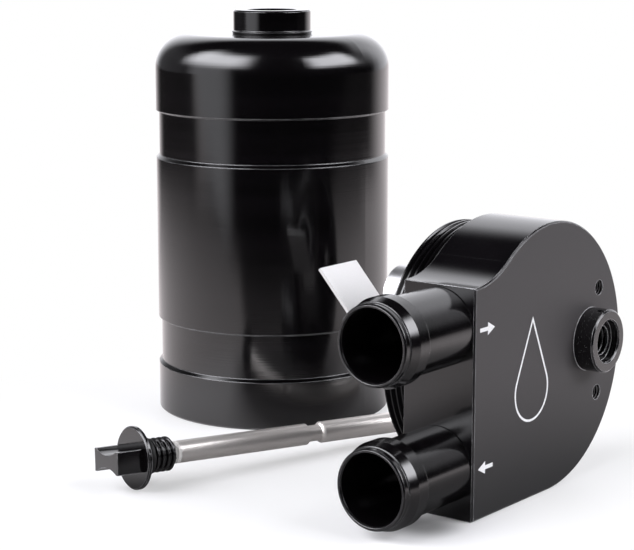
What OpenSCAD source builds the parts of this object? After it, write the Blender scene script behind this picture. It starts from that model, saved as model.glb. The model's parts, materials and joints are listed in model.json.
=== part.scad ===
// Oil catch can for an engine bay, taken apart for cleaning and set out on a bench. The can stands on
// its open mouth, the head stands on its flat side and the dipstick lies on its flange and its tip.

/* [Can] */
// Outside diameter of the can
can_d = 76.2; // [70:0.2:90]
// Height of the can without its drain neck
can_h = 123.4; // [100:0.2:160]
// Wall of the can
can_wall = 4; // [3:0.1:5]
// Outside radius between the wall and the closed end
can_corner_r = 11; // [8:0.5:18]
// Height of each clamp band above the mouth of the can
band_low_z = 15.8; // [12:0.1:20]
// Height of the upper clamp band above the mouth of the can
band_high_z = 84; // [60:0.1:90]
// Width of a clamp band
band_w = 14.9; // [10:0.1:18]
// Depth of a clamp band
band_depth = 1; // [0.6:0.1:1.5]
// Bevel at the top step of a clamp band
band_step = 0.4; // [0.2:0.1:0.6]

/* [Screw joint between can and head] */
// Wall left round the seal in the mouth of the can
can_lip = 1.6; // [1.2:0.1:3]
// Space between that wall and the thread on the head
thread_set = 0.5; // [0.3:0.1:1]
// Depth of the thread
neck_thread_depth = 1.1; // [0.6:0.1:1.3]
// Distance between two turns of the thread
neck_thread_pitch = 1.9; // [1.5:0.1:2.2]
// Turns of the thread
neck_turns = 4; // [3:1:5]
// Thickness of the seal between can and head
head_seal_d = 2; // [1.6:0.1:2.4]
// Wall between the seal's groove and the bore inside the threaded ring
neck_wall = 2.5; // [2:0.1:4]

/* [Drain] */
// Clear bore of the drain
drain_bore_d = 14.9; // [12:0.1:16]
// Depth of the thread in the drain
drain_thread_depth = 0.85; // [0.6:0.05:1]
// Wall of the drain's root outside its thread
drain_wall = 1.7; // [1.2:0.1:2.5]
// Width of the shoulder with which the drain neck stands on its washer
drain_shoulder = 2.6; // [1.5:0.1:4]
// Height of the drain neck above the can
drain_h = 7.7; // [6.5:0.1:14]
// How far the rim stands out at the foot of the drain neck
drain_rim = 0.5; // [0.3:0.1:2]
// Thickness of the rim at the foot of the drain neck
drain_rim_h = 0.6; // [0.4:0.1:2]
// Thickness of the washer below the rim
drain_washer_h = 0.5; // [0.4:0.1:1.5]

/* [Head] */
// How much larger the radius of the head's round end is than the can's
head_over = 0.4; // [0:0.1:2]
// How far the face with the hose tails stands out past the round end
block_out = 1.1; // [0.8:0.1:6]
// Space between a hose tail and the long edges of that face
tail_margin = 0.7; // [0.3:0.1:3]
// Space between the inlet's hose tail and the upper end of that face
tail_side = 0.7; // [0.3:0.1:3]
// Bevel along the edges of the head
edge = 0.5; // [0.3:0.1:0.8]

/* [Hose tails] */
// Outside diameter of a hose tail
tail_d = 21.8; // [18:0.1:22.4]
// Wall of a hose tail at its mouth
tail_wall = 1.2; // [1:0.1:2]
// How far the bead of a hose tail stands out
bead_out = 1.2; // [0.6:0.1:2]
// Length of a hose tail outside the head
tail_len = 30.7; // [24:0.1:45]
// Width of the shoulder with which a hose tail stands on the head
tail_shoulder = 1.4; // [1:0.1:2.5]
// Wall of the screwed root of a hose tail
tail_root_wall = 2; // [1.2:0.1:3]
// Length of the screwed root of a hose tail
tail_root_len = 11; // [8:0.5:14]
// Inlet: distance from the middle of the head
inlet_x = 13.8; // [12.6:0.1:15]
// Outlet: distance from the flat side of the head
outlet_up = 14.2; // [12.6:0.1:16]

/* [Drop tube and deflector] */
// Wall of the drop tube
tube_wall = 1; // [0.8:0.1:1.5]
// Length of the drop tube below the underside of the head
tube_len = 23.5; // [16:0.5:30]
// Distance of the drop tube from the middle of the head towards the hose tails
tube_y = 8.3; // [6:0.1:9]
// Width of the deflector
plate_w = 17.6; // [14:0.2:20]
// Thickness of the deflector
plate_t = 1; // [0.8:0.1:1.6]
// Distance from the underside of the head to the bend of the deflector
plate_drop = 31.6; // [28:0.2:45]
// Length of the slanted end of the deflector
plate_slant_len = 20; // [12:0.2:24]
// Slope of the slanted end of the deflector
plate_slant_a = 42; // [30:0.5:55]
// Inside radius of the bends of the deflector
plate_bend_r = 1; // [0.6:0.2:2]
// Length of the foot of the deflector
plate_foot = 10; // [8:0.5:11]
// Distance between the two screws in the foot
plate_screw_gap = 10; // [8:0.5:11]
// Diameter of a foot screw
screw_d = 3; // [2.5:0.5:3.5]

/* [Dipstick] */
// Wall of the boss on the head
boss_wall = 3.15; // [2:0.05:5]
// Height of the boss
boss_h = 6.2; // [5:0.1:8]
// Distance of the boss from the rim of the head, on the side away from the hose tails
boss_in = 17.5; // [16:0.1:18.5]
// Sideways distance of the boss from the middle of the head
boss_x = 1.8; // [0:0.1:3]
// Space round the seal in the counterbore of the boss
seal_space = 0.35; // [0.2:0.05:0.6]
// Diameter of the thread on the dipstick plug
plug_thread_d = 10; // [9.6:0.1:10.6]
// Depth of the thread on the dipstick plug
plug_thread_depth = 0.9; // [0.5:0.1:1]
// Distance between two turns of the plug thread
plug_pitch = 1.75; // [1.5:0.05:2]
// Turns of the plug thread
plug_turns = 4; // [3:1:5]
// How far the boss stands out past the flange of the plug
flange_set = 0.1; // [0:0.1:1]
// Thickness of the rim of the flange
flange_t = 1.2; // [0.8:0.1:3]
// Distance from the rim of the flange to the seal below it
hub_len = 2; // [1.6:0.1:4]
// Length of the grip in front of the flange
grip_len = 8.5; // [7:0.1:12]
// Width of the grip
grip_w = 12.6; // [10:0.1:16]
// Thickness of the grip at its ends
grip_t = 6.6; // [5:0.1:8]
// Thickness of the grip at its waist
grip_waist = 3.6; // [3:0.1:4.6]
// Thickness of the seal below the flange
plug_seal_d = 1.8; // [1.6:0.1:2.2]
// Diameter of the rod
rod_d = 6.5; // [5:0.1:7]
// Depth of the level mark in the rod
mark_depth = 0.8; // [0.4:0.1:1.2]
// Width of the level mark
mark_w = 5; // [2:0.5:8]
// Distance from the flange to the level mark
mark_z = 60.4; // [45:0.1:75]
// Space between the tip of the rod and the closed end of the assembled can
tip_space = 14; // [8:1:40]

/* [Bracket holes] */
// Tapping diameter of the bracket holes
bracket_hole_d = 4.4; // [4:0.1:5.2]
// Distance between the two bracket holes
bracket_gap = 31.1; // [26:0.1:34]
// Sideways distance of the middle between them from the middle of the head
bracket_x = 0.6; // [0:0.1:2]
// How much nearer to the rim than the boss the bracket holes lie
bracket_step = 4.7; // [3:0.1:6]
// Depth of the bracket holes
bracket_hole_len = 12; // [8:1:16]

/* [Placing on the bench] */
// Distance between the side of the can and the underside of the head
head_gap = 65.5; // [60:0.1:110]
// Distance of the middle of the head in front of the axis of the can
head_place_y = 31.9; // [20:0.1:45]
// Sideways distance of the dipstick's flange from the axis of the can
dip_place_x = 33.2; // [28:0.1:40]
// Distance of the dipstick's flange in front of the axis of the can
dip_place_y = 104.3; // [98:0.1:120]
// Direction of the dipstick on the bench, from its grip to its tip
dip_turn = 74.1; // [70:0.1:78]
// Turn of the grip about the axis of the dipstick
grip_turn = -6; // [-20:1:20]

/* [Hidden] */
$fn = 96;
black = "#242426";
silver = "#c9cacc";
steel = "#a29d97";
rubber = "#151515";
// Clearance between a screwed or pressed piece and its hole
fit = 0.1;
// How far a cutting shape runs past the face it opens
past = 1;
can_r = can_d / 2;
bore_r = can_r - can_wall;
corner_in_r = can_corner_r - can_wall;
// Plain counterbore in the mouth of the can, which squeezes the seal a little
mouth_seat_r = can_r - can_lip;
seal_groove_r = mouth_seat_r - head_seal_d + fit;
thread_r = mouth_seat_r - thread_set;
thread_root_r = thread_r - neck_thread_depth;
thread_len = neck_thread_pitch * neck_turns;
seal_land = head_seal_d + 0.2;
neck_len = thread_len + seal_land;
mouth_bore_r = thread_root_r + fit;
mouth_groove_r = thread_r + fit;
mouth_seat_len = seal_land + 0.2;
neck_bore_r = seal_groove_r - neck_wall;
drain_thread_d = drain_bore_d + 2 * drain_thread_depth;
drain_root_d = drain_thread_d + 2 * drain_wall;
drain_d = drain_root_d + 2 * drain_shoulder;
drain_seat_z = can_h + drain_washer_h;
drain_top_z = can_h + drain_h;
drain_pitch = 1.3;
drain_turns = 6;
tail_seal_d = 1.5;
// Depth of the groove behind the shoulder of a hose tail, which holds its seal
tail_groove = 1;
tail_root_d = tail_d - 2 * tail_shoulder;
tail_seal_mid_r = tail_root_d / 2 - tail_groove + tail_seal_d / 2;
tail_seat_d = 2 * tail_seal_mid_r + tail_seal_d + 0.6;
passage_d = tail_root_d - 2 * tail_root_wall;
tube_d = passage_d + 2 * (tube_wall + fit);
head_t = tail_d + 2 * tail_margin;
tail_z = head_t / 2;
head_r = can_r + head_over;
outlet_x = head_r - outlet_up;
block_reach = head_r + block_out;
block_side = inlet_x + tail_d / 2 + tail_side;
head_place_x = can_r + head_gap;
// Radius of the hollow curve that leads from the round end of the head to its front
sweep_r = (pow(block_side, 2) + pow(block_reach, 2) - pow(head_r, 2)) / (2 * (head_r - block_side));
sweep_x = block_side + sweep_r;
// Where that curve runs into the round end, a hair before the point where the two touch
sweep_angle = atan2(block_reach, sweep_x) + 1;
sweep_end = (head_r - fit / 2) * [cos(sweep_angle), sin(sweep_angle)];
plate_x = inlet_x - tube_d / 2 - plate_t - fit / 2;
screw_x = plate_x - plate_bend_r - (plate_foot - plate_bend_r) / 2;
tube_seat = 5;
plug_core_r = plug_thread_d / 2 - plug_thread_depth;
plug_seal_mid_r = plug_core_r - 0.2 + plug_seal_d / 2;
boss_counterbore_d = 2 * plug_seal_mid_r + plug_seal_d + 2 * seal_space;
boss_d = boss_counterbore_d + 2 * boss_wall;
boss_y = head_r - boss_in;
bracket_y = boss_y + bracket_step;
hub_d = boss_counterbore_d - 2 * fit;
seal_z = flange_t + hub_len;
thread_z = seal_z + plug_seal_d + 0.2;
plug_len = thread_z + plug_pitch * plug_turns;
boss_top_z = head_t + boss_h;
flange_r = boss_d / 2 - flange_set;
boss_bevel = 0.4;
cone_len = hub_len - 0.6;
// Where the cone behind the flange rests on the bevel in the boss when the can is assembled
plug_seat_z = flange_t + cone_len * (flange_r - boss_counterbore_d / 2 - boss_bevel)
    / (flange_r - hub_d / 2);
// The floor of the counterbore squeezes the seal a little
counterbore_len = seal_z - plug_seat_z + plug_seal_d - fit;
rod_len = plug_seat_z + boss_top_z + can_h - can_wall - tip_space;
rod_chamfer = 0.6;
rod_r = rod_d / 2;
// The dipstick rests on the back of its flange's rim and on the rim of its tip
dip_tilt = atan((flange_r - rod_r) / (rod_len - rod_chamfer - flange_t));
dip_height = flange_t * sin(dip_tilt) + flange_r * cos(dip_tilt);

// Side of a thread as rings: from radius a to radius b and back, once for each turn
function ridges(a, b, z, pitch, turns) = [for (i = [0 : turns - 1]) each [
    [a, z + i * pitch], [b, z + (i + 0.28) * pitch],
    [b, z + (i + 0.5) * pitch], [a, z + (i + 0.78) * pitch]]];

// Points on an arc, in turn from angle a to angle b
function arc(c, r, a, b, steps = 8) = [for (i = [0 : steps])
    c + r * [cos(a + (b - a) * i / steps), sin(a + (b - a) * i / steps)]];

// A ring of round rubber cord
module cord_ring(mid_r, d) {
    rotate_extrude() translate([mid_r, 0]) circle(d = d, $fn = 32);
}

// A round bar with a bevel at both ends
module bevelled_bar(r, h, c) {
    rotate_extrude()
        polygon([[0, 0], [r - c, 0], [r, c], [r, h - c], [r - c, h], [0, h]]);
}

// Half section of a tank with a rounded closed end
module tank_section(r, corner, top) {
    square([r, top - corner]);
    square([r - corner, top]);
    translate([r - corner, top - corner]) circle(corner);
}

// Section of the ring that is cut away for a clamp band
module band_section(z) {
    polygon([
        [can_r + past, z - band_depth / 2 - past], [can_r, z - band_depth / 2],
        [can_r - band_depth, z + band_depth / 2],
        [can_r - band_depth, z + band_w - band_step],
        [can_r - band_depth + band_step, z + band_w], [can_r + past, z + band_w]]);
}

module can_body() color(black) {
    difference() {
        rotate_extrude() difference() {
            tank_section(can_r, can_corner_r, can_h);
            tank_section(bore_r, corner_in_r, can_h - can_wall);
            translate([0, -past]) square([bore_r, 2 * past]);
            for (z = [band_low_z, band_high_z]) band_section(z);
            polygon([[can_r - edge, 0], [can_r + past, edge + past], [can_r + past, -past],
                [can_r - edge - past, -past]]);
            polygon(concat([[0, -past], [mouth_seat_r, -past], [mouth_seat_r, mouth_seat_len]],
                ridges(mouth_bore_r, mouth_groove_r, mouth_seat_len, neck_thread_pitch, neck_turns),
                [[mouth_bore_r, mouth_seat_len + thread_len + 1],
                [0, mouth_seat_len + thread_len + 1]]));
        }
        translate([0, 0, can_h - can_wall - past])
            cylinder(d = drain_root_d + 2 * fit, h = can_wall + 2 * past);
    }
}

module drain_washer() color(rubber) translate([0, 0, can_h]) difference() {
    cylinder(d = drain_d + drain_rim, h = drain_washer_h);
    translate([0, 0, -past]) cylinder(d = drain_root_d + 2 * fit, h = drain_washer_h + 2 * past);
}

module drain_neck() color(black) {
    root_z = can_h - can_wall - 1.5;
    bore_top = drain_bore_d / 2 + 0.8;
    rotate_extrude() polygon(concat(
        [[drain_bore_d / 2, root_z], [drain_root_d / 2 - edge, root_z],
        [drain_root_d / 2, root_z + edge], [drain_root_d / 2, drain_seat_z],
        [drain_d / 2 + drain_rim, drain_seat_z],
        [drain_d / 2 + drain_rim, drain_seat_z + drain_rim_h / 2],
        [drain_d / 2, drain_seat_z + drain_rim_h],
        [drain_d / 2, drain_top_z - edge], [drain_d / 2 - edge, drain_top_z],
        [bore_top, drain_top_z], [drain_bore_d / 2, drain_top_z - 0.8]],
        [for (p = ridges(drain_bore_d / 2, drain_thread_d / 2, 0, drain_pitch, drain_turns))
            [p[0], drain_top_z - 1.2 - p[1]]]));
}

// Puts what is modelled in the head's own frame, face up, on the bench with its flat side down
module laid_head() {
    translate([head_place_x, -head_place_y, head_r]) rotate([180, -90, 0]) children();
}

// The round end, the square front and the hollow curve between them, with bevelled edges
module head_plate() {
    bevelled_bar(head_r, head_t, edge);
    intersection() {
        difference() {
            linear_extrude(head_t)
                polygon([[-head_r, 0], [-head_r, block_reach], [block_side, block_reach],
                    sweep_end, [0, 0]]);
            translate([sweep_x, block_reach, 0]) rotate_extrude() polygon([
                [0, -past], [sweep_r + edge + past, -past], [sweep_r, edge], [sweep_r, head_t - edge],
                [sweep_r + edge + past, head_t + past], [0, head_t + past]]);
        }
        translate([-head_r, 0, 0]) rotate([90, 0, 90]) linear_extrude(2 * head_r) polygon([
            [0, 0], [block_reach - edge, 0], [block_reach, edge],
            [block_reach, head_t - edge], [block_reach - edge, head_t], [0, head_t]]);
        translate([0, block_reach, 0]) rotate([90, 0, 0]) linear_extrude(block_reach) polygon([
            [head_r, 0], [edge - head_r, 0], [-head_r, edge],
            [-head_r, head_t - edge], [edge - head_r, head_t], [head_r, head_t]]);
    }
}

// The threaded ring below the head, which screws into the mouth of the can
module head_neck() {
    rotate_extrude() polygon(concat(
        [[neck_bore_r, past], [neck_bore_r, 1 - neck_len], [neck_bore_r + 1, -neck_len]],
        ridges(thread_root_r, thread_r, -neck_len, neck_thread_pitch, neck_turns),
        [[thread_root_r, -seal_land], [seal_groove_r, -seal_land], [seal_groove_r, past]]));
}

// Cuts the socket for a hose tail and the passage behind it, which turns down into the can
module passage(x, y, down_d) {
    translate([x, block_reach + past, tail_z]) rotate([90, 0, 0]) {
        cylinder(d = tail_root_d + 2 * fit, h = tail_root_len + past + 0.5);
        cylinder(d = passage_d, h = block_reach - y + past);
        cylinder(d = tail_seat_d, h = past + tail_seal_d);
    }
    translate([x, y, -past]) cylinder(d = down_d, h = tail_z + past);
    translate([x, y, tail_z]) sphere(d = passage_d);
}

// Cuts the bore for the dipstick plug: counterbore, thread and clearance for the rod
module dipstick_bore() {
    seat = boss_top_z - counterbore_len;
    tap_r = plug_core_r + fit;
    translate([boss_x, -boss_y, 0]) rotate_extrude() polygon(concat(
        [[0, -past], [tap_r, -past]],
        ridges(tap_r, plug_thread_d / 2 + fit, seat - plug_pitch * (plug_turns + 1), plug_pitch,
            plug_turns + 1),
        [[tap_r, seat], [boss_counterbore_d / 2, seat],
        [boss_counterbore_d / 2, boss_top_z - boss_bevel],
        [boss_counterbore_d / 2 + boss_bevel + past, boss_top_z + past],
        [0, boss_top_z + past]]));
}

module head_block() color(black) laid_head() difference() {
    union() {
        head_plate();
        head_neck();
        translate([boss_x, -boss_y, head_t - past]) bevelled_bar(boss_d / 2, boss_h + past, edge);
    }
    passage(inlet_x, tube_y, passage_d);
    passage(-outlet_x, 0, passage_d - 1);
    translate([inlet_x, tube_y, -past]) cylinder(d = tube_d + 2 * fit, h = tube_seat + past);
    dipstick_bore();
    for (side = [-1, 1])
        translate([bracket_x + side * bracket_gap / 2, -bracket_y, head_t - bracket_hole_len])
            cylinder(d = bracket_hole_d, h = bracket_hole_len + past);
    for (side = [-1, 1])
        translate([screw_x, tube_y + side * plate_screw_gap / 2, -past])
            cylinder(d = screw_d + 2 * fit, h = 6 + past);
}

module head_seal() color(rubber) laid_head()
    translate([0, 0, -seal_land / 2]) cord_ring(seal_groove_r + head_seal_d / 2, head_seal_d);

// A hose tail with its mouth at the top, standing on the head's front face at height 0
module hose_tail() {
    r = tail_d / 2;
    bead = r + bead_out;
    root = tail_root_d / 2;
    neck = root - tail_groove;
    bore = r - tail_wall;
    throat = passage_d / 2;
    rotate_extrude() polygon([
        [throat, -tail_root_len], [root - edge, -tail_root_len], [root, edge - tail_root_len],
        [root, -2.4], [neck, -2.4], [neck, -tail_seal_d], [neck, 0], [r - 0.3, 0], [r, 0.3],
        [r, tail_len - 10.6], [bead, tail_len - 9.2], [bead, tail_len - 5],
        [r + 0.35, tail_len - 2.2], [r + 0.05, tail_len - 2],
        [r + 0.05, tail_len - 0.5], [r - 0.4, tail_len], [bore + 0.4, tail_len],
        [bore, tail_len - 0.5], [bore, 3], [throat, 1]]);
}

// Puts a piece that stands on the front face of the head at an inlet or outlet
module on_front(x) {
    laid_head() translate([x, block_reach, tail_z]) rotate([-90, 0, 0]) children();
}

module inlet_tail() color(black) on_front(inlet_x) hose_tail();
module outlet_tail() color(black) on_front(-outlet_x) hose_tail();

module tail_seal() {
    translate([0, 0, -tail_seal_d / 2]) cord_ring(tail_seal_mid_r, tail_seal_d);
}
module inlet_tail_seal() color(rubber) on_front(inlet_x) tail_seal();
module outlet_tail_seal() color(rubber) on_front(-outlet_x) tail_seal();

module drop_tube() color(silver) laid_head() translate([inlet_x, tube_y, 0]) rotate_extrude() {
    r = tube_d / 2;
    polygon([[r - tube_wall, tube_seat], [r - tube_wall, -tube_len], [r - 0.2, -tube_len],
        [r, 0.2 - tube_len], [r, tube_seat]]);
}

// Side view of the bent strip: foot under the head, leg beside the drop tube, slanted end below it
module deflector_section() {
    turn = 90 - plate_slant_a;
    foot_bend = [-plate_bend_r, -plate_t - plate_bend_r];
    slant_bend = [plate_t + plate_bend_r, -plate_drop];
    along = plate_slant_len * [cos(plate_slant_a), -sin(plate_slant_a)];
    outside = arc(slant_bend, plate_bend_r + plate_t, 180, 180 + turn);
    inside = arc(slant_bend, plate_bend_r, 180 + turn, 180);
    polygon(concat([[-plate_foot, 0], [-plate_foot, -plate_t]],
        arc(foot_bend, plate_bend_r, 90, 0), outside,
        [outside[len(outside) - 1] + along, inside[0] + along], inside,
        arc(foot_bend, plate_bend_r + plate_t, 0, 90)));
}

module deflector_plate() color(silver) laid_head() difference() {
    translate([plate_x, tube_y + plate_w / 2, 0]) rotate([90, 0, 0])
        linear_extrude(plate_w) deflector_section();
    for (side = [-1, 1])
        translate([screw_x, tube_y + side * plate_screw_gap / 2, -plate_t - past])
            cylinder(d = screw_d + 2 * fit, h = plate_t + 2 * past);
}

module deflector_screws() color(steel) laid_head() {
    head_h = 1.6;
    for (side = [-1, 1])
        translate([screw_x, tube_y + side * plate_screw_gap / 2, 0])
            rotate([180, 0, 0]) difference() {
                union() {
                    translate([0, 0, -5]) cylinder(d = screw_d, h = 5 + plate_t + past / 2);
                    translate([0, 0, plate_t]) bevelled_bar(screw_d * 0.9, head_h, 0.3);
                }
                translate([0, 0, plate_t + head_h - 0.9])
                    cylinder(d = screw_d * 0.65, h = past + 0.9, $fn = 6);
            }
}

// Puts what is modelled along the dipstick's own axis, flange face at height 0, on the bench
module laid_dipstick() {
    translate([dip_place_x, -dip_place_y, dip_height])
        rotate([0, 0, dip_turn]) rotate([0, 90 + dip_tilt, 0]) children();
}

// Bar hollowed above and below by two round scallops
module grip_section() {
    scallop = (grip_t - grip_waist) / 2;
    half = grip_w * 0.42;
    scallop_r = (pow(half, 2) + pow(scallop, 2)) / (2 * scallop);
    difference() {
        square([grip_t, grip_w], center = true);
        for (side = [-1, 1])
            translate([side * (grip_waist / 2 + scallop_r), 0]) circle(scallop_r);
    }
}

module dipstick_plug() color(black) laid_dipstick() difference() {
    union() {
        rotate_extrude() polygon(concat(
            [[0, 0], [flange_r - 0.4, 0], [flange_r, 0.4], [flange_r, flange_t],
            [hub_d / 2, flange_t + cone_len], [hub_d / 2, seal_z],
            [plug_core_r - 0.2, seal_z], [plug_core_r - 0.2, thread_z]],
            ridges(plug_core_r, plug_thread_d / 2, thread_z, plug_pitch, plug_turns),
            [[plug_core_r, plug_len], [0, plug_len]]));
        intersection() {
            rotate([0, 0, grip_turn]) translate([0, 0, -grip_len])
                linear_extrude(grip_len + 0.5) grip_section();
            translate([0, 0, -grip_len]) bevelled_bar(flange_r, grip_len + 0.5, edge / 2);
        }
    }
    translate([0, 0, plug_len - 8]) cylinder(d = rod_d - 1 + 2 * fit, h = 8 + past);
}

module dipstick_seal() color(rubber) laid_dipstick()
    translate([0, 0, seal_z + plug_seal_d / 2]) cord_ring(plug_seal_mid_r, plug_seal_d);

module dipstick_rod() color(steel) laid_dipstick() rotate_extrude() polygon([
    [0, plug_len - 7.8], [rod_r - 0.5, plug_len - 7.8], [rod_r - 0.5, plug_len + 1],
    [rod_r, plug_len + 1.5], [rod_r, mark_z], [rod_r - mark_depth, mark_z + 0.3],
    [rod_r - mark_depth, mark_z + mark_w], [rod_r - 0.3, mark_z + mark_w + 0.4],
    [rod_r, mark_z + mark_w + 0.9], [rod_r, rod_len - rod_chamfer],
    [rod_r - rod_chamfer, rod_len], [0, rod_len]]);

can_body();
drain_washer();
drain_neck();
head_block();
head_seal();
inlet_tail();
outlet_tail();
inlet_tail_seal();
outlet_tail_seal();
drop_tube();
deflector_plate();
deflector_screws();
dipstick_plug();
dipstick_seal();
dipstick_rod();
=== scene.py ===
"""Looks of the oil catch can: finishes, a few small marks, bench, light and camera."""
import json
import math

import bmesh
import bpy
from mathutils import Matrix, Vector


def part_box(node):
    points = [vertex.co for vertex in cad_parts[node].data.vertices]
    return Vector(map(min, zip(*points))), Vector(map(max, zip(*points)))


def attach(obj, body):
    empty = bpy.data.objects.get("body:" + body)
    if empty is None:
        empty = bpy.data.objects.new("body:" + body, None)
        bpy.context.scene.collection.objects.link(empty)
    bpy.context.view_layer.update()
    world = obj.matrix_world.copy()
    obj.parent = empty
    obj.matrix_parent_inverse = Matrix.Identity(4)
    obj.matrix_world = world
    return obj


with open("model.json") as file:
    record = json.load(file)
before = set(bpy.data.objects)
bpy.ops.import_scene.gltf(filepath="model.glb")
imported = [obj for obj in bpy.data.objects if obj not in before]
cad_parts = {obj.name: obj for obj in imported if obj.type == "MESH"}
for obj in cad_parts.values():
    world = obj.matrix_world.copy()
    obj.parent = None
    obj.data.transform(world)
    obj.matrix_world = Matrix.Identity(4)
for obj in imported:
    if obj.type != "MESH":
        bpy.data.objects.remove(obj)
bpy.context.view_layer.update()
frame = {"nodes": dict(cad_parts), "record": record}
nodes = frame["nodes"]
mounts = {mount["name"]: mount for mount in frame["record"]["mounts"]}

# Places on the part, in metres. The can stands on the Z axis, and the head faces +X
TAIL_X, _, INLET_Z = mounts["inlet_hose"]["pos_m"]
OUTLET_Z = mounts["outlet_hose"]["pos_m"][2]
FACE_X, BRACKET_Y, BRACKET_Z = mounts["bracket_holes"]["pos_m"]     # on the front, midway between the two holes
BRACKET_HALF = mounts["bracket_holes"]["dims"]["spacing_y_mm"] / 2000
BRACKET_HOLE_RADIUS = 0.0026                            # just past their threads
BRACKET_HOLE_PITCH = 0.0008                             # of those threads
BACK_X = 2 * TAIL_X - FACE_X                            # back of the plate, where the threaded neck begins
HEAD_MIDDLE = (BACK_X, *mounts["head_neck"]["pos_m"][1:])
BOSS_TOP_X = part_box("head_block")[1][0]
BOSS_RADIUS = 0.0092
BOSS_THREAD_RADIUS = 0.0051
TUBE_Y = sum(corner[1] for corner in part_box("drop_tube")) / 2
DIP_PLACE = (0.0332, -0.1043, 0.00914)                  # middle of the plug's flange, on its front
DIP_TURN = math.radians(74.1)
GRIP_RADIUS = 0.0076                                    # just past the corners of the grip bar

# Turns that lay a pattern's Z axis along a piece's own axis
ALONG_X = (0, math.pi / 2, 0)
ALONG_Y = (math.pi / 2, 0, 0)
ALONG_DIP = (0, math.pi / 2, DIP_TURN)


# ---------------------------------------------------------------- shader helpers

def new_group(name, inputs, outputs):
    """An empty shader node group with the given sockets: (name, kind, default) in, (name, kind) out."""
    tree = bpy.data.node_groups.new(name, "ShaderNodeTree")
    for label, kind, default in inputs:
        socket = tree.interface.new_socket(label, in_out="INPUT", socket_type=kind)
        if default is not None:
            socket.default_value = default
    for label, kind in outputs:
        tree.interface.new_socket(label, in_out="OUTPUT", socket_type=kind)
    return tree, tree.nodes.new("NodeGroupInput"), tree.nodes.new("NodeGroupOutput")


def add(tree, kind, **values):
    """A node of that kind; values set its properties, and in_NAME or in_NUMBER its sockets."""
    node = tree.nodes.new(kind)
    for key, value in values.items():
        if not key.startswith("in_"):
            setattr(node, key, value)
    for key, value in values.items():
        if key.startswith("in_"):
            name = key[3:]
            socket = node.inputs[int(name) if name.isdigit() else name.replace("_", " ")]
            if isinstance(value, bpy.types.NodeSocket):
                tree.links.new(value, socket)
            else:
                socket.default_value = value
    return node


def maths(tree, operation, *values, clamp=False):
    """The result of an operation on values that are numbers or sockets."""
    sockets = {f"in_{place}": value for place, value in enumerate(values)}
    return add(tree, "ShaderNodeMath", operation=operation, use_clamp=clamp, **sockets).outputs[0]


def product(tree, *values):
    """All the values multiplied."""
    result = values[0]
    for value in values[1:]:
        result = maths(tree, "MULTIPLY", result, value)
    return result


def spread(tree, value, low, high):
    """The value, from 0.25 to 0.75, spread over low to high."""
    return add(tree, "ShaderNodeMapRange", in_Value=value, in_1=0.25, in_2=0.75, in_3=low,
               in_4=high).outputs[0]


def ramp(tree, value, low, high, start=0.0, end=1.0):
    """A smooth change from start to end while the value goes from low to high."""
    return add(tree, "ShaderNodeMapRange", interpolation_type="SMOOTHSTEP", in_Value=value, in_1=low, in_2=high,
               in_3=start, in_4=end).outputs[0]


def colours(tree, factor, first, second):
    """The first colour going over into the second; each is a socket or red, green and blue."""
    ends = [end if isinstance(end, bpy.types.NodeSocket) else (*end, 1) for end in (first, second)]
    return add(tree, "ShaderNodeMix", data_type="RGBA", in_0=factor, in_6=ends[0], in_7=ends[1]).outputs[2]


def numbers(tree, factor, first, second):
    """The first number going over into the second."""
    return add(tree, "ShaderNodeMix", data_type="FLOAT", in_0=factor, in_2=first, in_3=second).outputs[0]


def vector_value(tree, operation, first, second=(0, 0, 0)):
    """The number that an operation on two vectors gives."""
    return add(tree, "ShaderNodeVectorMath", operation=operation, in_0=first, in_1=second).outputs["Value"]


def noise(tree, vector, scale, detail, **values):
    """A noise pattern, mostly between 0.25 and 0.75."""
    return add(tree, "ShaderNodeTexNoise", in_Vector=vector, in_Scale=scale, in_Detail=detail,
               **values).outputs["Fac"]


def split(tree, vector):
    """The three coordinates of a vector."""
    return add(tree, "ShaderNodeSeparateXYZ", in_Vector=vector).outputs


def off_axis(tree, x, y):
    """How far a point is from the Z axis."""
    return vector_value(tree, "LENGTH", add(tree, "ShaderNodeCombineXYZ", in_X=x, in_Y=y).outputs[0])


def off_point(tree, where, y, z):
    """How far a point is from the line along X at that y and z."""
    level = add(tree, "ShaderNodeCombineXYZ", in_Y=where[1], in_Z=where[2]).outputs[0]
    return vector_value(tree, "DISTANCE", level, (0, y, z))


# ---------------------------------------------------------------- effects that several finishes share

# Fine lines that a lathe leaves: they follow radius and height about the Z axis of the vector
lathe_lines, gin, gout = new_group(
    "lathe_lines", [("Vector", "NodeSocketVector", None), ("Density", "NodeSocketFloat", 2600.0)],
    [("Height", "NodeSocketFloat"), ("Tone", "NodeSocketFloat")])
x, y, z = split(lathe_lines, gin.outputs["Vector"])
profile = add(lathe_lines, "ShaderNodeCombineXYZ", in_X=off_axis(lathe_lines, x, y), in_Y=z).outputs[0]
lines = noise(lathe_lines, profile, gin.outputs["Density"], 2.0, noise_dimensions="2D", in_Roughness=0.6)
broad = noise(lathe_lines, profile, 160.0, 1.0, noise_dimensions="2D")
lathe_lines.links.new(lines, gout.inputs["Height"])
lathe_lines.links.new(broad, gout.inputs["Tone"])

# Fine grain of a milled, blasted and anodised face, with a slow change across the part
fine_grain, gin, gout = new_group(
    "fine_grain", [("Vector", "NodeSocketVector", None), ("Scale", "NodeSocketFloat", 3500.0)],
    [("Height", "NodeSocketFloat"), ("Patches", "NodeSocketFloat")])
grain = noise(fine_grain, gin.outputs["Vector"], gin.outputs["Scale"], 3.0, in_Roughness=0.65)
fine_grain.links.new(grain, gout.inputs["Height"])
fine_grain.links.new(noise(fine_grain, gin.outputs["Vector"], 45.0, 3.0), gout.inputs["Patches"])

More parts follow.
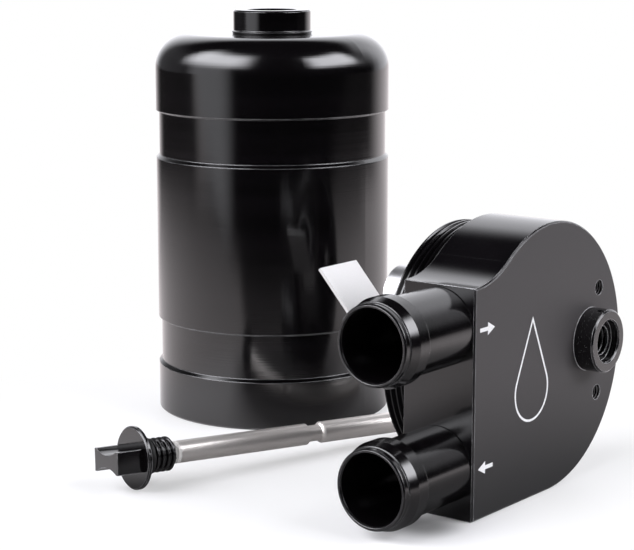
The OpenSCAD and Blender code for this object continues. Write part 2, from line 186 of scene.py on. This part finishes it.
# Straight brush marks along the X axis of the vector
brush_marks, gin, gout = new_group(
    "brush_marks", [("Vector", "NodeSocketVector", None), ("Scale", "NodeSocketFloat", 1800.0)],
    [("Height", "NodeSocketFloat")])
stretched = add(brush_marks, "ShaderNodeVectorMath", operation="MULTIPLY", in_0=gin.outputs["Vector"],
                in_1=(0.03, 1.0, 1.0)).outputs[0]
brush_marks.links.new(noise(brush_marks, stretched, gin.outputs["Scale"], 3.0), gout.inputs["Height"])

# Rubbed edges: normals that go round an edge, its mask, and a lighter colour there, partly wear and partly painted
# highlight.
# Where Keep is 0 the edge stays sharp, and Amount says how much of the lighter colour it gets
rubbed_edges, gin, gout = new_group(
    "rubbed_edges",
    [("Vector", "NodeSocketVector", None), ("Colour", "NodeSocketColor", None), ("Worn", "NodeSocketColor", None),
     ("Radius", "NodeSocketFloat", 0.0004), ("Keep", "NodeSocketFloat", 1.0), ("Amount", "NodeSocketFloat", 1.0)],
    [("Colour", "NodeSocketColor"), ("Normal", "NodeSocketVector"), ("Edge", "NodeSocketFloat")])
plain = add(rubbed_edges, "ShaderNodeNewGeometry").outputs["Normal"]
bevelled = add(rubbed_edges, "ShaderNodeBevel", samples=6, in_Radius=gin.outputs["Radius"]).outputs[0]
soft = add(rubbed_edges, "ShaderNodeMix", data_type="VECTOR", in_0=gin.outputs["Keep"], in_4=plain,
           in_5=bevelled).outputs[1]
turned_away = ramp(rubbed_edges, vector_value(rubbed_edges, "DOT_PRODUCT", plain, soft), 0.98, 0.8)
edge = product(rubbed_edges, turned_away, gin.outputs["Amount"])
uneven_amount = ramp(rubbed_edges, noise(rubbed_edges, gin.outputs["Vector"], 260.0, 2.0), 0.3, 0.6, 0.45, 1.0)
worn = colours(rubbed_edges, product(rubbed_edges, edge, uneven_amount), gin.outputs["Colour"], gin.outputs["Worn"])
rubbed_edges.links.new(worn, gout.inputs["Colour"])
rubbed_edges.links.new(soft, gout.inputs["Normal"])
rubbed_edges.links.new(edge, gout.inputs["Edge"])


# ---------------------------------------------------------------- materials

def placed(tree, place=(0, 0, 0), turn=(0, 0, 0)):
    """Object coordinates seen from a point of the part, in metres, with the axes turned."""
    where = add(tree, "ShaderNodeTexCoord").outputs["Object"]
    return add(tree, "ShaderNodeMapping", vector_type="TEXTURE", in_Vector=where, in_Location=place,
               in_Rotation=turn).outputs[0]


def new_material(name):
    """A material with nothing but its Principled shader."""
    mat = bpy.data.materials.new(name)
    mat.use_nodes = True
    tree = mat.node_tree
    tree.nodes.clear()
    out = tree.nodes.new("ShaderNodeOutputMaterial")
    shader = tree.nodes.new("ShaderNodeBsdfPrincipled")
    tree.links.new(shader.outputs[0], out.inputs["Surface"])
    return mat, tree, shader


def bumped(tree, height, strength, **values):
    """Normals of a surface with fine relief up to 0.2 mm deep."""
    return add(tree, "ShaderNodeBump", in_Distance=0.0002, in_Height=height, in_Strength=strength,
               **values).outputs[0]


def cover(tree, shader, colour, rough, normal):
    """Gives a shader the sockets for its colour, its roughness and its normals."""
    tree.links.new(colour, shader.inputs["Base Color"])
    tree.links.new(rough, shader.inputs["Roughness"])
    tree.links.new(normal, shader.inputs["Normal"])


def anodised(tree, shader, where, patches, height, bump, dark, light, rough, radius, worn, keep=1.0, amount=1.0):
    """Black anodised metal with a slow change of tone, and edges lighter from wear and painted highlight. Gives the
    node with the edges.
    """
    edges = add(tree, "ShaderNodeGroup", node_tree=rubbed_edges, in_Vector=where,
                in_Colour=colours(tree, spread(tree, patches, 0.0, 1.0), dark, light),
                in_Worn=(worn, worn, 1.02 * worn, 1), in_Radius=radius, in_Keep=keep, in_Amount=amount)
    cover(tree, shader, edges.outputs["Colour"], rough,
          bumped(tree, height, bump, in_Normal=edges.outputs["Normal"]))
    shader.inputs["IOR"].default_value = 1.7
    return edges


def turned_black(name, place=(0, 0, 0), turn=(0, 0, 0), rough=(0.07, 0.12), edge=0.00045, worn=0.3, threads=None):
    """Black anodised aluminium off the lathe, turned about an axis of the part.

    On the plug, threads is the height at which its thread begins. The thread gets little of the lighter edge
    colour, partly wear and partly painted highlight, and the corner between grip and flange, at height 0, gets
    none.
    """
    mat, tree, shader = new_material(name)
    where = placed(tree, place, turn)
    lathe = add(tree, "ShaderNodeGroup", node_tree=lathe_lines, in_Vector=where)
    grain = add(tree, "ShaderNodeGroup", node_tree=fine_grain, in_Vector=where)
    keep = amount = 1.0
    if threads is not None:
        x, y, height = split(tree, where)
        keep = maths(tree, "MAXIMUM", ramp(tree, maths(tree, "ABSOLUTE", height), 0.0003, 0.0009),
                     ramp(tree, off_axis(tree, x, y), GRIP_RADIUS - 0.0002, GRIP_RADIUS + 0.0002))
        amount = ramp(tree, height, threads - 0.0002, threads + 0.0002, 1.0, 0.15)
    anodised(tree, shader, where, lathe.outputs["Tone"], lathe.outputs["Height"], bump=0.05,
             dark=(0.0014, 0.0012, 0.0014), light=(0.003, 0.0025, 0.003),
             rough=spread(tree, grain.outputs["Patches"], *rough), radius=edge, worn=worn, keep=keep, amount=amount)
    return mat


def milled_black(name):
    """Black anodised aluminium of the head: glossy milled sides, and a front that was blasted matt."""
    mat, tree, shader = new_material(name)
    where = placed(tree)
    grain = add(tree, "ShaderNodeGroup", node_tree=fine_grain, in_Vector=where)
    coordinates = split(tree, where)
    depth, height = coordinates[0], coordinates[2]
    off_middle = off_point(tree, coordinates, BRACKET_Y, BRACKET_Z)

    # The thread of the neck and the corner at the boss's foot stay sharp, and the thread inside the boss nearly
    # so. Both places are taken round the middle of the bracket holes, 5 mm beside the axis of the boss
    off_face = maths(tree, "ABSOLUTE", maths(tree, "SUBTRACT", depth, FACE_X))
    foot = product(tree, ramp(tree, off_face, 0.0009, 0.0004),
                   ramp(tree, off_middle, BOSS_RADIUS + 0.0012, BOSS_RADIUS + 0.0007))
    keep = product(tree, ramp(tree, depth, BACK_X - 0.0004, BACK_X - 0.0001), maths(tree, "SUBTRACT", 1.0, foot),
                   ramp(tree, off_middle, BOSS_THREAD_RADIUS, BOSS_THREAD_RADIUS + 0.0004, 0.6, 1.0))
    amount = ramp(tree, depth, BACK_X + 0.002, FACE_X - 0.002, 0.25, 1.0)

    # The front is matt and greyer, with a speckle. Towards the bench its colour goes darker, as painted shade
    matt = product(tree, ramp(tree, depth, FACE_X - 0.0003, FACE_X - 0.0001),
                   ramp(tree, depth, FACE_X + 0.00002, FACE_X + 0.00006, 1.0, 0.0))
    rough = numbers(tree, matt, spread(tree, grain.outputs["Patches"], 0.09, 0.14), 0.6)
    edges = anodised(tree, shader, where, grain.outputs["Patches"], grain.outputs["Height"],
                     bump=product(tree, matt, 0.1), dark=(0.002, 0.0017, 0.0021), light=(0.004, 0.0035, 0.0042),
                     rough=rough, radius=0.0004, worn=0.75, keep=keep, amount=amount)
    speckle = product(tree, maths(tree, "SUBTRACT", grain.outputs["Height"], 0.5), 1.4)
    blasted = colours(tree, maths(tree, "ADD", 0.5, speckle, clamp=True),
                      (0.0225, 0.0195, 0.0205), (0.041, 0.0365, 0.0385))
    off_edges = ramp(tree, edges.outputs["Edge"], 0.0, 0.5, 1.0, 0.0)
    # Painted shade: near the bench the front keeps the darker black instead of the matt grey
    colour = colours(tree, product(tree, matt, ramp(tree, height, 0.0, 0.045), off_edges),
                     edges.outputs["Colour"], blasted)

    # Painted highlight: lighter stripes in the two bracket holes stand in for glints on their cut threads
    ridges = maths(tree, "SINE", maths(tree, "MULTIPLY", depth, 2 * math.pi / BRACKET_HOLE_PITCH))
    painted_glint = 0.0
    for z in (BRACKET_Z - BRACKET_HALF, BRACKET_Z + BRACKET_HALF):
        painted_glint = maths(tree, "ADD", painted_glint, ramp(tree, off_point(tree, coordinates, BRACKET_Y, z),
                                             BRACKET_HOLE_RADIUS + 0.0001, BRACKET_HOLE_RADIUS - 0.0001))
    painted_glint = product(tree, painted_glint, ramp(tree, depth, FACE_X - 0.0001, FACE_X - 0.0005), ramp(tree, ridges, -0.2, 0.6))
    colour = colours(tree, painted_glint, colour, (0.3, 0.29, 0.29))

    # A few small pale specks lie on the side of the dipstick boss
    specks = ramp(tree, noise(tree, where, 3600.0, 1.0), 0.7, 0.76)
    pale_specks = product(tree, specks, ramp(tree, depth, FACE_X + 0.0006, FACE_X + 0.001),
                   ramp(tree, depth, BOSS_TOP_X - 0.0002, BOSS_TOP_X - 0.0006), 0.35)
    tree.links.new(colours(tree, pale_specks, colour, (0.6, 0.6, 0.58)), shader.inputs["Base Color"])
    return mat


def bare_metal(name, tint, place=(0, 0, 0), turn=(0, 0, 0), rough=(0.3, 0.4), turned=True, bump=0.1, mottle=0.92,
               metal=1.0, residue=None):
    """Bare metal, turned about an axis or brushed along X. Dried sealant clings to it up to the height residue."""
    mat, tree, shader = new_material(name)
    where = placed(tree, place, turn)
    grain = add(tree, "ShaderNodeGroup", node_tree=fine_grain, in_Vector=where)
    if turned:
        marks = add(tree, "ShaderNodeGroup", node_tree=lathe_lines, in_Vector=where, in_Density=3200.0)
    else:
        marks = add(tree, "ShaderNodeGroup", node_tree=brush_marks, in_Vector=where)
    tone = maths(tree, "ADD", spread(tree, grain.outputs["Patches"], 0.0, 0.5),
                 spread(tree, grain.outputs["Height"], 0.0, 0.5))
    colour = colours(tree, tone, [mottle * part for part in tint], tint)
    if residue is None:
        shader.inputs["Metallic"].default_value = metal
    else:
        ragged = maths(tree, "MULTIPLY_ADD", grain.outputs["Height"], 0.0012, split(tree, where)[2])
        dried = ramp(tree, ragged, residue + 0.0003, residue + 0.0009, 1.0, 0.0)
        colour = colours(tree, dried, colour, (0.72, 0.7, 0.67))
        tree.links.new(ramp(tree, dried, 0.0, 1.0, metal, 0.0), shader.inputs["Metallic"])
    cover(tree, shader, colour, spread(tree, grain.outputs["Patches"], *rough),
          bumped(tree, marks.outputs["Height"], bump))
    return mat


def matt_rubber(name, rough=(0.45, 0.6), tone=0.008):
    """Black rubber of the seals and the drain washer."""
    mat, tree, shader = new_material(name)
    grain = add(tree, "ShaderNodeGroup", node_tree=fine_grain, in_Vector=placed(tree), in_Scale=2500.0)
    colour = colours(tree, spread(tree, grain.outputs["Patches"], 0.0, 1.0), (tone, tone, tone),
                     (2 * tone, 1.9 * tone, 1.9 * tone))
    cover(tree, shader, colour, spread(tree, grain.outputs["Patches"], *rough),
          bumped(tree, grain.outputs["Height"], 0.15))
    return mat


def tail_black(name, z):
    """Black of a hose tail at that height, a little rougher than the can."""
    return turned_black(name, (TAIL_X, 0, z), ALONG_Y, rough=(0.13, 0.18), edge=0.00035, worn=0.2)


finishes = {
    "can_body": turned_black("black_can", rough=(0.1, 0.15)),
    "drain_neck": turned_black("black_drain", edge=0.0003),
    "drain_washer": matt_rubber("washer_rubber", rough=(0.2, 0.28), tone=0.002),
    "head_block": milled_black("black_head"),
    "head_seal": matt_rubber("seal_rubber"),
    "inlet_tail": tail_black("black_inlet", INLET_Z),
    "outlet_tail": tail_black("black_outlet", OUTLET_Z),
    "inlet_tail_seal": matt_rubber("inlet_seal_rubber"),
    "outlet_tail_seal": matt_rubber("outlet_seal_rubber"),
    "drop_tube": bare_metal("bright_tube", (0.85, 0.85, 0.86), (BACK_X, TUBE_Y, INLET_Z), ALONG_X),
    "deflector_plate": bare_metal("bright_sheet", (0.8, 0.795, 0.79), rough=(0.5, 0.6), turned=False, bump=0.2,
                                  mottle=0.86),
    "deflector_screws": bare_metal("screw_steel", (0.6, 0.59, 0.57), HEAD_MIDDLE, ALONG_X),
    "dipstick_plug": turned_black("black_plug", DIP_PLACE, ALONG_DIP, rough=(0.08, 0.13), edge=0.0005, worn=0.35,
                                  threads=0.0028),
    "dipstick_seal": matt_rubber("plug_seal_rubber"),
    "dipstick_rod": bare_metal("rod_steel", (0.95, 0.905, 0.865), DIP_PLACE, ALONG_DIP, rough=(0.32, 0.4),
                               bump=0.16, metal=0.8, residue=0.0147),
}
for name, mat in finishes.items():
    mesh = nodes[name].data
    mesh.materials.clear()
    mesh.materials.append(mat)


# ---------------------------------------------------------------- printed marks on the head
# Arrows for the flow in and out beside the tails, and an outlined oil drop: thin layers of white ink on the front

INK_X = FACE_X - 0.00003       # the ink begins just inside the metal
INK_THICK = 0.00006
ARROW_Y = -0.0655
ARROW = [(-3.6, -0.55), (0.2, -0.55), (0.2, -1.75), (3.6, 0), (0.2, 1.75), (0.2, 0.55), (-3.6, 0.55)]    # mm

ink, tree, shader = new_material("white_ink")
grain = add(tree, "ShaderNodeGroup", node_tree=fine_grain, in_Vector=placed(tree), in_Scale=2200.0)
paint = colours(tree, spread(tree, grain.outputs["Height"], 0.0, 1.0), (0.62, 0.62, 0.62), (0.85, 0.85, 0.85))
tree.links.new(paint, shader.inputs["Base Color"])
shader.inputs["Roughness"].default_value = 0.55


def print_mark(name, shape, line=0):
    """Prints the one face of a bmesh on the head's front, filled or as an outline with that width."""
    face = shape.faces[:][0]
    face.normal_update()
    if face.normal.x < 0:
        face.normal_flip()
    if line:
        bmesh.ops.inset_region(shape, faces=[face], thickness=line, use_even_offset=True, use_boundary=True)
        bmesh.ops.delete(shape, geom=[face], context="FACES_ONLY")
    raised = bmesh.ops.extrude_face_region(shape, geom=shape.faces[:], use_keep_orig=True)
    top = [item for item in raised["geom"] if isinstance(item, bmesh.types.BMVert)]
    bmesh.ops.translate(shape, vec=(INK_THICK, 0, 0), verts=top)
    bmesh.ops.recalc_face_normals(shape, faces=shape.faces)
    mesh = bpy.data.meshes.new(name)
    shape.to_mesh(mesh)
    shape.free()
    mesh.materials.append(ink)
    piece = bpy.data.objects.new(name, mesh)
    bpy.context.collection.objects.link(piece)
    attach(piece, "root")


def arrow(z, to):
    """A small arrow along Y: towards the tail with to = -1, away from it with +1."""
    shape = bmesh.new()
    shape.faces.new([shape.verts.new((INK_X, ARROW_Y + to * 0.001 * a, z + 0.001 * b)) for a, b in ARROW])
    return shape


def drop(y, z, radius, tall):
    """An oil drop: a round bottom, and straight sides up to a tip that far above its middle."""
    shape = bmesh.new()
    touch = math.asin(radius / tall)
    side = shape.verts.new((INK_X, y - radius * math.cos(touch), z + radius * math.sin(touch)))
    bmesh.ops.spin(shape, geom=[side], cent=(INK_X, y, z), axis=(1, 0, 0), angle=math.pi + 2 * touch, steps=40)
    ends = [vert for vert in shape.verts if len(vert.link_edges) == 1]
    tip = shape.verts.new((INK_X, y, z + tall))
    for end in ends:
        shape.edges.new((end, tip))
    bmesh.ops.contextual_create(shape, geom=shape.edges[:])
    return shape


print_mark("mark_flow_in", arrow(INLET_Z, 1))
print_mark("mark_flow_out", arrow(OUTLET_Z, -1))
print_mark("mark_oil_drop", drop(y=-0.0425, z=0.031, radius=0.0088, tall=0.021), line=0.00065)


# ---------------------------------------------------------------- bench, light and camera

CAMERA_PLACE = (0.3947, -0.4844, 0.1565)
CAMERA_TILT = math.radians(79.73)
CAMERA_TURN = math.radians(37.83)
BENCH_MIDDLE = Vector((0.05, -0.04, 0))     # below the middle of the part
BENCH_HALF = 3.0
BENCH_BEFORE = 0.26                         # how far the bench comes towards the camera
BENCH_GAP = 0.0001                          # it lies that far below the part
# Middle of a painted shadow on the bench, under the outlet tail
PAINTED_SHADOW_PLACE = (0.1175, -0.081, 0)          # deepest shadow, under the outlet tail


def direction(azimuth):
    """A level direction from the part: azimuth 0 is towards the camera, 90 degrees to its right."""
    turn = CAMERA_TURN + math.radians(azimuth) - math.pi / 2
    return Vector((math.cos(turn), math.sin(turn), 0))


def towards(tree, vector, azimuth, wide, narrow):
    """1 where a level vector is within narrow degrees of the azimuth, 0 outside wide."""
    side = vector_value(tree, "DOT_PRODUCT", vector, tuple(direction(azimuth)))
    return ramp(tree, side, math.cos(math.radians(wide)), math.cos(math.radians(narrow)))


floor_mesh = bpy.data.meshes.new("bench")
shape = bmesh.new()
bmesh.ops.create_grid(shape, x_segments=1, y_segments=1, size=BENCH_HALF)
bmesh.ops.rotate(shape, matrix=Matrix.Rotation(CAMERA_TURN, 3, "Z"), verts=shape.verts)
bench_place = BENCH_MIDDLE - direction(0) * (BENCH_HALF - BENCH_BEFORE) - Vector((0, 0, BENCH_GAP))
bmesh.ops.translate(shape, vec=bench_place, verts=shape.verts)
shape.to_mesh(floor_mesh)
shape.free()
bench = bpy.data.objects.new("bench", floor_mesh)
bpy.context.collection.objects.link(bench)

# The bench is pale everywhere. What shines on it keeps to the left and back, as in the photographed studio,
# and away from the part it goes over into the white background
bench_mat, tree, shader = new_material("bench_white")
paths = add(tree, "ShaderNodeLightPath")
glossy = paths.outputs["Is Glossy Ray"]
where = add(tree, "ShaderNodeTexCoord").outputs["Object"]
x, y, _ = split(tree, where)
from_middle = add(tree, "ShaderNodeVectorMath", operation="SUBTRACT", in_0=where, in_1=BENCH_MIDDLE).outputs[0]
before = vector_value(tree, "DOT_PRODUCT", from_middle, tuple(direction(0)))
round_about = add(tree, "ShaderNodeVectorMath", operation="NORMALIZE", in_0=from_middle).outputs[0]
off = vector_value(tree, "LENGTH", from_middle)
off_painted_shadow = vector_value(tree, "DISTANCE", where, PAINTED_SHADOW_PLACE)

# How brightly the bench shows in the part, painted by place: painted shade beside the dipstick and between can and
# head
beside_dipstick = product(tree, ramp(tree, x, 0.03, 0.065), ramp(tree, y, -0.10, -0.14))
between = product(tree, ramp(tree, x, 0.0, 0.035), ramp(tree, x, 0.25, 0.13), ramp(tree, y, 0.08, -0.02),
                  ramp(tree, y, -0.16, -0.12))
dim = product(tree, maths(tree, "MAXIMUM", beside_dipstick, between), 0.8)
behind = towards(tree, round_about, 158, 70, 40)
close_by = product(tree, maths(tree, "SUBTRACT", 1.0, dim), ramp(tree, before, 0.17, 0.27, 1.0, 0.03),
                   ramp(tree, before, -0.15, 0.2, 1.2, 0.75),
                   maths(tree, "MAXIMUM", behind, ramp(tree, off, 0.18, 0.6, 1.05, 0.36)))
far_behind = maths(tree, "ADD", 0.04, product(tree, towards(tree, round_about, 166, 54, 18), 1.2))
far_off = maths(tree, "ADD", far_behind, towards(tree, round_about, -62, 26, 8))
shine = numbers(tree, ramp(tree, off, 0.5, 0.8), close_by, far_off)

# Close to the part the bench is a surface that takes shadows, and farther off it goes over into white light
# A painted shadow darkens the bench's colour around the place under the outlet tail
tone = product(tree, 0.93, ramp(tree, off_painted_shadow, 0.002, 0.013, 0.3, 1.0),
               numbers(tree, glossy, 1.0, maths(tree, "MINIMUM", shine, 1.0)))
paint = add(tree, "ShaderNodeCombineColor", in_0=tone, in_1=tone, in_2=tone)
tree.links.new(paint.outputs[0], shader.inputs["Base Color"])
shader.inputs["Roughness"].default_value = 0.5
shader.inputs["Specular IOR Level"].default_value = 0.1
white = add(tree, "ShaderNodeEmission", in_Strength=numbers(tree, glossy, 1.0, shine),
            in_Color=colours(tree, glossy, (1, 1, 1), (1.0, 0.935, 0.955)))
# Near that painted shadow the white light is held back as well, which deepens the painted shadow
beyond = product(tree, maths(tree, "MAXIMUM", paths.outputs["Is Camera Ray"], glossy),
                 ramp(tree, off, 0.072, 0.145, 0.4, 1.0), ramp(tree, off_painted_shadow, 0.004, 0.04, 0.1, 1.0))
mixed = add(tree, "ShaderNodeMixShader", in_0=beyond, in_1=shader.outputs[0], in_2=white.outputs[0])
out = next(node for node in tree.nodes if node.type == "OUTPUT_MATERIAL")
tree.links.new(mixed.outputs[0], out.inputs["Surface"])
floor_mesh.materials.append(bench_mat)

world = bpy.data.worlds.new("white_studio")
bpy.context.scene.world = world
world.use_nodes = True
tree = world.node_tree
tree.nodes.clear()
out = tree.nodes.new("ShaderNodeOutputWorld")
x, y, height = split(tree, add(tree, "ShaderNodeTexCoord").outputs["Generated"])
level = add(tree, "ShaderNodeVectorMath", operation="NORMALIZE",
            in_0=add(tree, "ShaderNodeCombineXYZ", in_X=x, in_Y=y).outputs[0]).outputs[0]


def soft_light(azimuth, wide, narrow, rise, fall, strength):
    """A soft light in the room, in degrees: full within narrow of its azimuth, none outside wide.

    Upwards it comes in over rise and goes out over fall.
    """
    rad = [math.sin(math.radians(angle)) for angle in (*rise, *fall)]
    return product(tree, towards(tree, level, azimuth, wide, narrow),
                   ramp(tree, height, rad[0], rad[1]), ramp(tree, height, rad[2], rad[3], 1.0, 0.0), strength)


room = 0.003
for light in (
        soft_light(-63, 48, 18, (10, 36), (46, 68), 8.0),           # large softbox on the left
        soft_light(-64, 30, 8, (-20, -8), (12, 34), 1.1),           # pale wall below it
        soft_light(70, 36, 14, (12, 27), (42, 56), 7.5),            # softbox on the right
        soft_light(166, 54, 18, (-20, -8), (33, 50), 1.45),         # backdrop
        soft_light(118, 34, 10, (4, 22), (30, 46), 0.35),           # its right end
        soft_light(-135, 60, 30, (-20, -8), (25, 45), 0.16),        # its dim left end
        soft_light(0, 180.1, 180, (62, 78), (90, 90.1), 0.06)):     # ceiling
    room = maths(tree, "ADD", room, light)
seen = add(tree, "ShaderNodeLightPath").outputs["Is Camera Ray"]
sheet = add(tree, "ShaderNodeBackground", in_Strength=numbers(tree, seen, room, 1.0),
            in_Color=colours(tree, seen, (0.98, 0.98, 1.03), (1, 1, 1)))
tree.links.new(sheet.outputs[0], out.inputs["Surface"])

eye = bpy.data.cameras.new("camera")
eye.lens = 108.1
eye.sensor_width = 36.0
camera = bpy.data.objects.new("camera", eye)
bpy.context.collection.objects.link(camera)
camera.location = CAMERA_PLACE
camera.rotation_euler = (CAMERA_TILT, 0, CAMERA_TURN)
bpy.context.scene.camera = camera
bpy.context.scene.view_settings.view_transform = "Standard"
